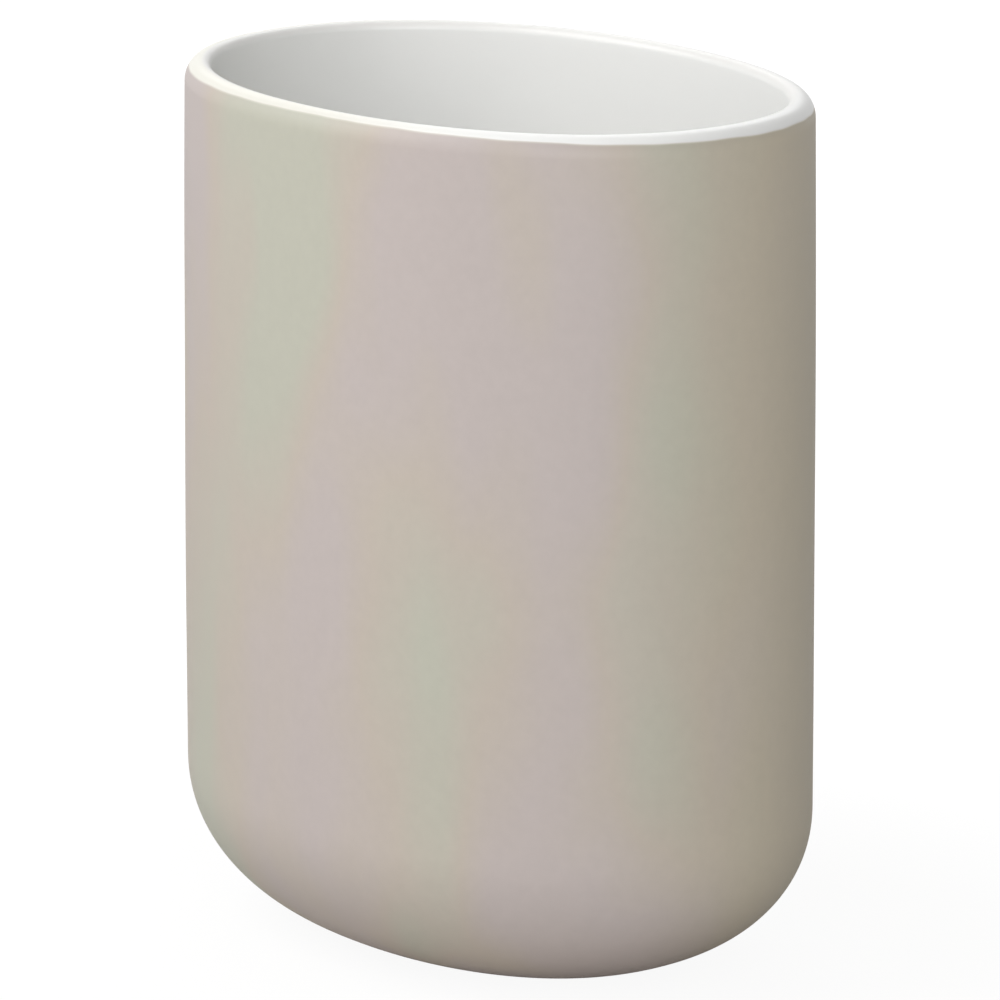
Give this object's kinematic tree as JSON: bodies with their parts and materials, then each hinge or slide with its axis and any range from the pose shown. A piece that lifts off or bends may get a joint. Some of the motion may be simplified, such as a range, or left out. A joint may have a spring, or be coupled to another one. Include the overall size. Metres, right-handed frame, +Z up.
{
  "type": "toothbrush holder",
  "caption": "Oval stoneware cup with a rounded lip, a deep rounded base and a low foot ring, which keeps toothbrushes upright.",
  "frame": {"origin": "centre of the footprint, on the surface that the holder stands on", "axes": "+Z up the cup to its lip, X along the long way of the oval, Y along the short way"},
  "size_m": [0.091, 0.0662, 0.11],
  "materials": {
    "stoneware": "matte",
    "beige_glaze": "satin",
    "white_glaze": "gloss",
    "silicone": "satin"
  },
  "bodies": {
    "root": {"stoneware_body": "stoneware", "outer_glaze": "beige_glaze", "inner_glaze": "white_glaze", "underside_glaze": "beige_glaze", "pad_front_left": "silicone", "pad_front_right": "silicone", "pad_back_left": "silicone", "pad_back_right": "silicone"}
  },
  "joints": []
}
